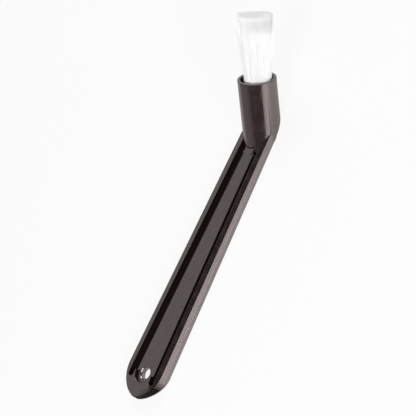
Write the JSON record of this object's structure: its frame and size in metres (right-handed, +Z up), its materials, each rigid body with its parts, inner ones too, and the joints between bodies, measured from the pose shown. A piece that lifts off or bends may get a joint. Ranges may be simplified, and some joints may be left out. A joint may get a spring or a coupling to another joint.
{
  "type": "crevice brush",
  "caption": "Narrow hand brush for gaps and joints: a flat grooved handle with a hang hole, and a round tuft of stiff bristles in a socket bent up from its end.",
  "frame": {"origin": "middle of the bounding box's base: on the plane that the back face lies on, in the mirror plane", "axes": "+X along the handle from the hang hole to the bristles, +Y across it, +Z up from the back face"},
  "size_m": [0.1735, 0.022, 0.041],
  "materials": {
    "handle_plastic": "brown-black moulded plastic with a soft gloss",
    "bristle_nylon": "translucent white nylon filament",
    "band_film": "thin binding film",
    "resin": "cured clear amber resin"
  },
  "bodies": {
    "root": {"handle": "handle_plastic", "bristle_bundle": "bristle_nylon", "binding_band": "band_film", "resin_bed": "resin"}
  },
  "joints": []
}
